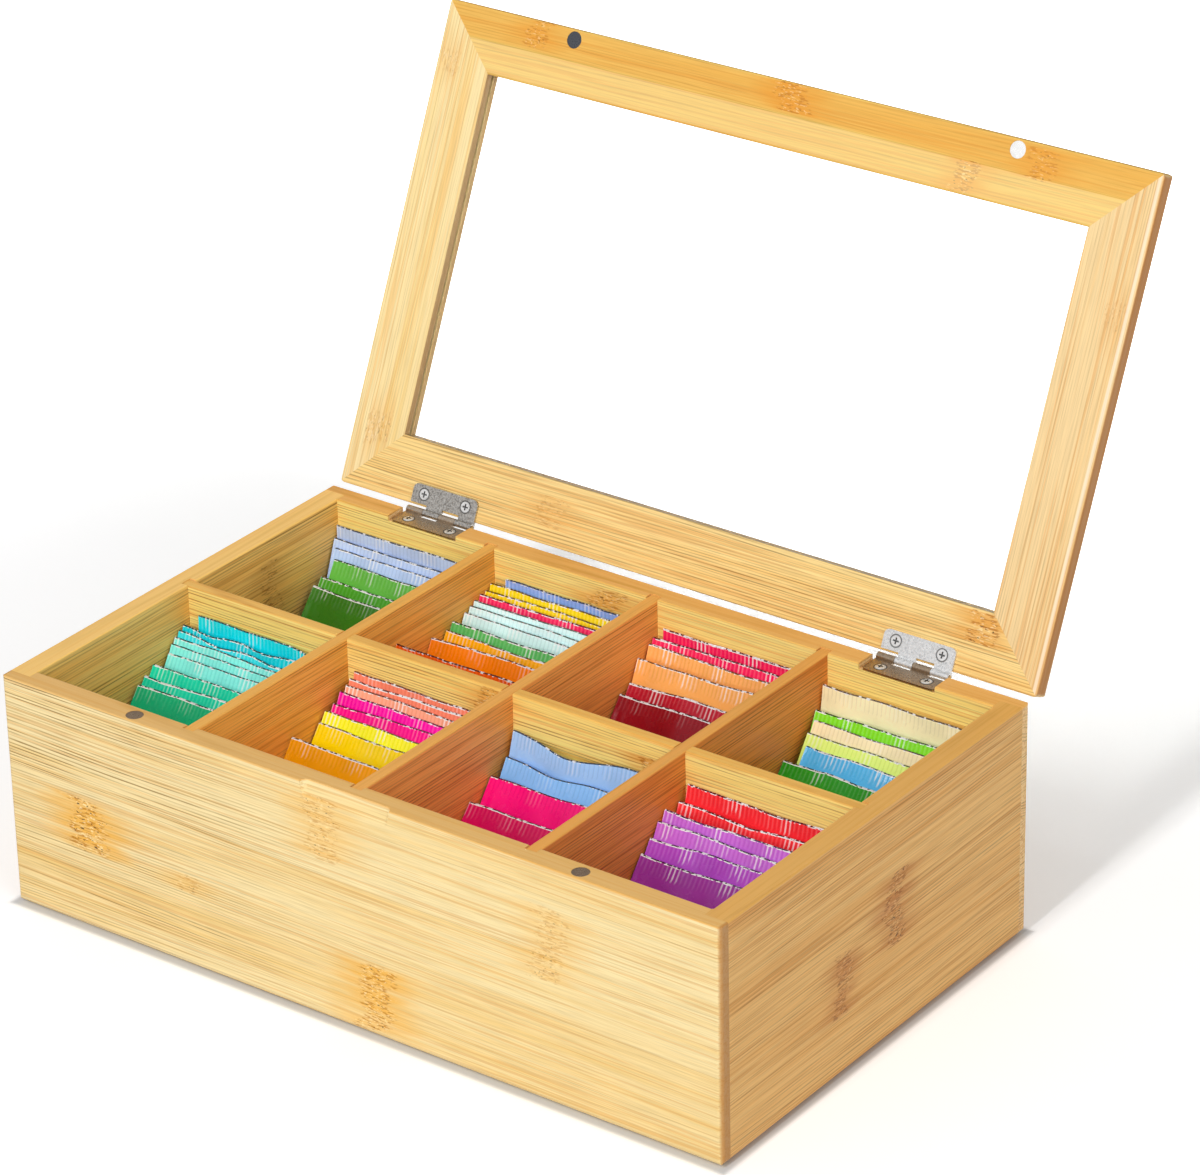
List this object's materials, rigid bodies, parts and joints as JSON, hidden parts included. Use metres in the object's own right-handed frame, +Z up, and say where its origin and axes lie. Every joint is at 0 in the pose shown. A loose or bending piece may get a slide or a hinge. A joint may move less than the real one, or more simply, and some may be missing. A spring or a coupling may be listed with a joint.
{
  "type": "tea box",
  "caption": "Wooden tea box with compartments under a hinged lid with a clear window, filled with foil sachets that lift out.",
  "frame": {"origin": "middle of the underside, which the box rests on", "axes": "+X along the box to the right seen from the front, +Y towards the hinges, +Z up"},
  "size_m": [0.32, 0.2831, 0.2698],
  "materials": {
    "bamboo": "clear satin lacquer over light bamboo",
    "clear_pane": "clear and polished",
    "galvanised_steel": "mottled zinc",
    "pin_brass": "dull",
    "screw_steel": "zinc plated",
    "magnet": "nickel plated",
    "foil_sachet": "printed foil with crimped seams"
  },
  "bodies": {
    "box": {"front_wall": "bamboo", "back_wall": "bamboo", "left_wall": "bamboo", "right_wall": "bamboo", "bottom_panel": "bamboo", "long_divider": "bamboo", "cross_divider_left": "bamboo", "cross_divider_middle": "bamboo", "cross_divider_right": "bamboo", "hinge_left_box_leaf": "galvanised_steel", "hinge_left_pin": "pin_brass", "hinge_right_box_leaf": "galvanised_steel", "hinge_right_pin": "pin_brass", "box_hinge_screws": "screw_steel", "box_magnets": "magnet"},
    "lid": {"lid_front_rail": "bamboo", "lid_rear_rail": "bamboo", "lid_left_rail": "bamboo", "lid_right_rail": "bamboo", "lid_window": "clear_pane", "hinge_left_lid_leaf": "galvanised_steel", "hinge_right_lid_leaf": "galvanised_steel", "lid_hinge_screws": "screw_steel", "lid_magnets": "magnet"},
    "sachets_rear_left": {"sachets_rear_left": "foil_sachet"},
    "sachets_rear_mid_left": {"sachets_rear_mid_left": "foil_sachet"},
    "sachets_rear_mid_right": {"sachets_rear_mid_right": "foil_sachet"},
    "sachets_rear_right": {"sachets_rear_right": "foil_sachet"},
    "sachets_front_left": {"sachets_front_left": "foil_sachet"},
    "sachets_front_mid_left": {"sachets_front_mid_left": "foil_sachet"},
    "sachets_front_mid_right": {"sachets_front_mid_right": "foil_sachet"},
    "sachets_front_right": {"sachets_front_right": "foil_sachet"}
  },
  "joints": [
    {"name": "lid_hinge", "type": "hinge", "parent": "box", "child": "lid", "pos_m": [0, 0.09825, 0.0937], "axis": [-1, 0, 0], "range_deg": [-114.5, 0]},
    {"name": "lift_rear_left", "type": "slide", "parent": "box", "child": "sachets_rear_left", "axis": [0, 0, 1], "range_m": [0, 0.095]},
    {"name": "lift_rear_mid_left", "type": "slide", "parent": "box", "child": "sachets_rear_mid_left", "axis": [0, 0, 1], "range_m": [0, 0.095]},
    {"name": "lift_rear_mid_right", "type": "slide", "parent": "box", "child": "sachets_rear_mid_right", "axis": [0, 0, 1], "range_m": [0, 0.095]},
    {"name": "lift_rear_right", "type": "slide", "parent": "box", "child": "sachets_rear_right", "axis": [0, 0, 1], "range_m": [0, 0.095]},
    {"name": "lift_front_left", "type": "slide", "parent": "box", "child": "sachets_front_left", "axis": [0, 0, 1], "range_m": [0, 0.095]},
    {"name": "lift_front_mid_left", "type": "slide", "parent": "box", "child": "sachets_front_mid_left", "axis": [0, 0, 1], "range_m": [0, 0.095]},
    {"name": "lift_front_mid_right", "type": "slide", "parent": "box", "child": "sachets_front_mid_right", "axis": [0, 0, 1], "range_m": [0, 0.095]},
    {"name": "lift_front_right", "type": "slide", "parent": "box", "child": "sachets_front_right", "axis": [0, 0, 1], "range_m": [0, 0.095]}
  ]
}
